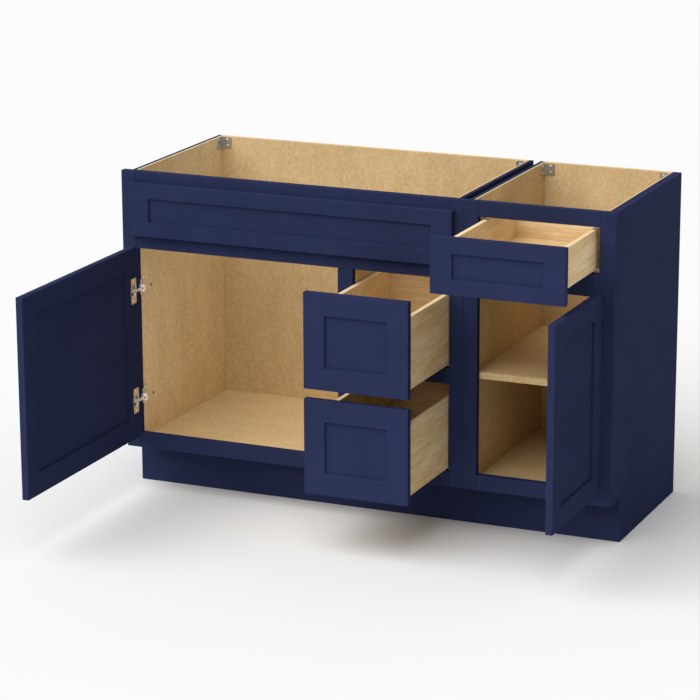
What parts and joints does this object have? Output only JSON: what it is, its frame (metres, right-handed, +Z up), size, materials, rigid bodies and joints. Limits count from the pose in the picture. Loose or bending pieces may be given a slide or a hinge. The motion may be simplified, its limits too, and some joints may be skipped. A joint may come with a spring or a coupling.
{
  "type": "bathroom vanity cabinet",
  "caption": "Open-top face-frame vanity cabinet with swinging shaker doors, sliding drawers, a fixed false front, a shelf and a recessed toe kick.",
  "frame": {"origin": "on the floor, at the centre of the floor area the cabinet takes with its doors and drawers open as at rest", "axes": "+X to the right as seen from the front, +Y to the wall behind, +Z up; rest has both doors open 90 degrees and each drawer pulled out 271 mm"},
  "size_m": [1.3716, 1.1515, 0.8763],
  "materials": {
    "navy_paint": "satin navy paint on hardwood and fibreboard",
    "birch_plywood": "clear satin lacquer on birch plywood",
    "birch_solid": "clear satin lacquer on solid birch",
    "hinge_steel": "nickel-plated steel",
    "zinc_plate": "zinc-plated steel"
  },
  "bodies": {
    "cabinet": {"left_frame_outer_stile": "navy_paint", "left_frame_joint_stile": "navy_paint", "left_frame_mullion": "navy_paint", "left_frame_top_rail": "navy_paint", "left_frame_middle_rail": "navy_paint", "left_frame_drawer_rail": "navy_paint", "left_frame_bottom_rail": "navy_paint", "right_frame_joint_stile": "navy_paint", "right_frame_outer_stile": "navy_paint", "right_frame_top_rail": "navy_paint", "right_frame_middle_rail": "navy_paint", "right_frame_bottom_rail": "navy_paint", "left_cabinet_left_side": "birch_plywood", "left_cabinet_right_side": "birch_plywood", "right_cabinet_left_side": "birch_plywood", "right_cabinet_right_side": "birch_plywood", "right_cabinet_end_skin": "navy_paint", "left_cabinet_back": "birch_plywood", "right_cabinet_back": "birch_plywood", "left_cabinet_floor": "birch_plywood", "right_cabinet_floor": "birch_plywood", "left_cabinet_divider": "birch_plywood", "left_cabinet_runner_filler": "birch_plywood", "right_cabinet_shelf": "birch_plywood", "left_cabinet_toe_kick": "navy_paint", "right_cabinet_toe_kick": "navy_paint", "false_front": "navy_paint", "right_cabinet_left_cleat": "birch_solid", "right_cabinet_right_cleat": "birch_solid", "left_cabinet_left_bracket": "zinc_plate", "left_cabinet_right_bracket": "zinc_plate", "right_cabinet_left_bracket": "zinc_plate", "right_cabinet_right_bracket": "zinc_plate", "upper_drawer_left_runner": "zinc_plate", "upper_drawer_right_runner": "zinc_plate", "lower_drawer_left_runner": "zinc_plate", "lower_drawer_right_runner": "zinc_plate", "right_drawer_left_runner": "zinc_plate", "right_drawer_right_runner": "zinc_plate", "left_door_upper_hinge_arm": "hinge_steel", "left_door_lower_hinge_arm": "hinge_steel", "right_door_upper_hinge_arm": "hinge_steel", "right_door_lower_hinge_arm": "hinge_steel"},
    "left_door": {"left_door_frame": "navy_paint", "left_door_panel": "navy_paint", "left_door_upper_hinge_cup": "hinge_steel", "left_door_lower_hinge_cup": "hinge_steel"},
    "right_door": {"right_door_frame": "navy_paint", "right_door_panel": "navy_paint", "right_door_upper_hinge_cup": "hinge_steel", "right_door_lower_hinge_cup": "hinge_steel"},
    "upper_drawer": {"upper_drawer_front": "navy_paint", "upper_drawer_box": "birch_solid", "upper_drawer_bottom": "birch_plywood"},
    "lower_drawer": {"lower_drawer_front": "navy_paint", "lower_drawer_box": "birch_solid", "lower_drawer_bottom": "birch_plywood"},
    "right_drawer": {"right_drawer_front": "navy_paint", "right_drawer_box": "birch_solid", "right_drawer_bottom": "birch_plywood"}
  },
  "joints": [
    {"name": "left_door_hinge", "type": "hinge", "parent": "cabinet", "child": "left_door", "pos_m": [-0.6531, 0.02595, 0.41425], "axis": [0, 0, -1], "range_deg": [-90, 15]},
    {"name": "right_door_hinge", "type": "hinge", "parent": "cabinet", "child": "right_door", "pos_m": [0.6557, 0.02595, 0.41425], "axis": [0, 0, 1], "range_deg": [-90, 15]},
    {"name": "upper_drawer_slide", "type": "slide", "parent": "cabinet", "child": "upper_drawer", "axis": [0, -1, 0], "range_m": [-0.271, 0.129]},
    {"name": "lower_drawer_slide", "type": "slide", "parent": "cabinet", "child": "lower_drawer", "axis": [0, -1, 0], "range_m": [-0.271, 0.129]},
    {"name": "right_drawer_slide", "type": "slide", "parent": "cabinet", "child": "right_drawer", "axis": [0, -1, 0], "range_m": [-0.271, 0.129]}
  ]
}
